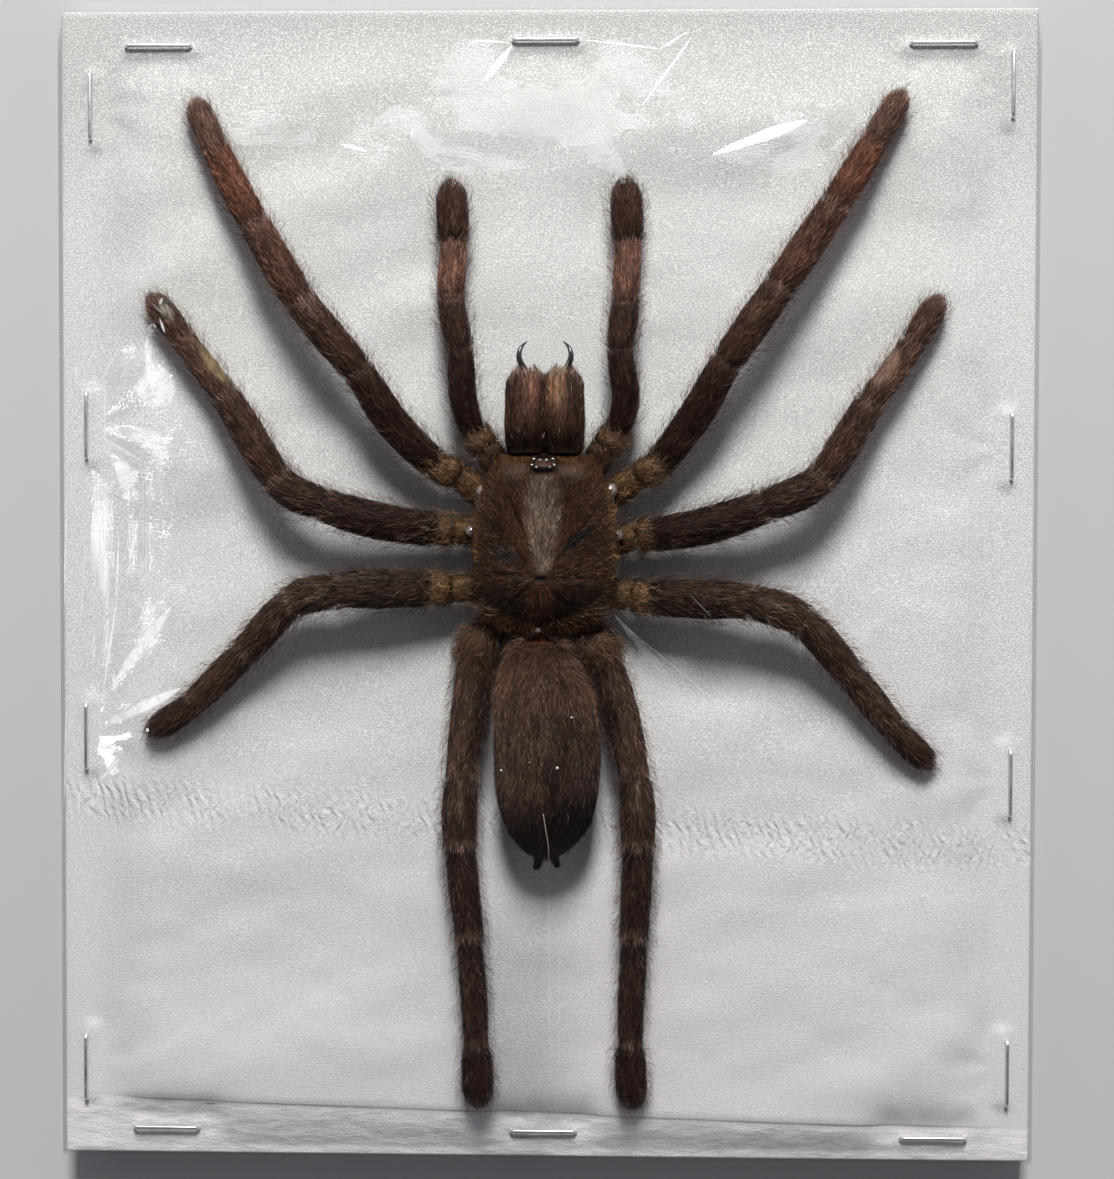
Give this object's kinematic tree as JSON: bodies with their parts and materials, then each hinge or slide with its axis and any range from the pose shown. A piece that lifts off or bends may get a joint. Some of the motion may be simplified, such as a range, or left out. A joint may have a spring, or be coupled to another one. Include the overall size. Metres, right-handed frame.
{
  "type": "framed tarantula specimen",
  "caption": "Spread dried tarantula on a paper-covered padded card, held under clear film by wire staples round the edge; lies face up.",
  "frame": {"origin": "middle of the board's resting face, on the surface it lies on", "axes": "+X across the board, +Y from the spider's tail to its fangs, +Z out of the board's face"},
  "size_m": [0.13, 0.1536, 0.0209],
  "materials": {
    "card": "uncoated pale board",
    "wadding": "soft fibre pad",
    "cover": "fine fibrous tissue paper with an embossed row",
    "film": "clear thin cellophane, glossy, wrinkled at the edges",
    "staple": "zinc-plated wire",
    "cuticle": "reddish brown cuticle under dense short hair",
    "abdomen": "grey-brown skin under velvety hair",
    "fang": "glossy near-black"
  },
  "bodies": {
    "root": {"abdomen": "abdomen", "backing_card": "card", "cephalothorax": "cuticle", "chelicera_left": "cuticle", "chelicera_right": "cuticle", "clear_film": "film", "fang_left": "fang", "fang_right": "fang", "leg_1_left": "cuticle", "leg_1_right": "cuticle", "leg_2_left": "cuticle", "leg_2_right": "cuticle", "leg_3_left": "cuticle", "leg_3_right": "cuticle", "leg_4_left": "cuticle", "leg_4_right": "cuticle", "palp_left": "cuticle", "palp_right": "cuticle", "staple_bottom_left": "staple", "staple_bottom_middle": "staple", "staple_bottom_right": "staple", "staple_left_1": "staple", "staple_left_2": "staple", "staple_left_3": "staple", "staple_left_4": "staple", "staple_right_1": "staple", "staple_right_2": "staple", "staple_right_3": "staple", "staple_right_4": "staple", "staple_top_left": "staple", "staple_top_middle": "staple", "staple_top_right": "staple", "tissue_cover": "cover", "wadding": "wadding"}
  },
  "joints": []
}
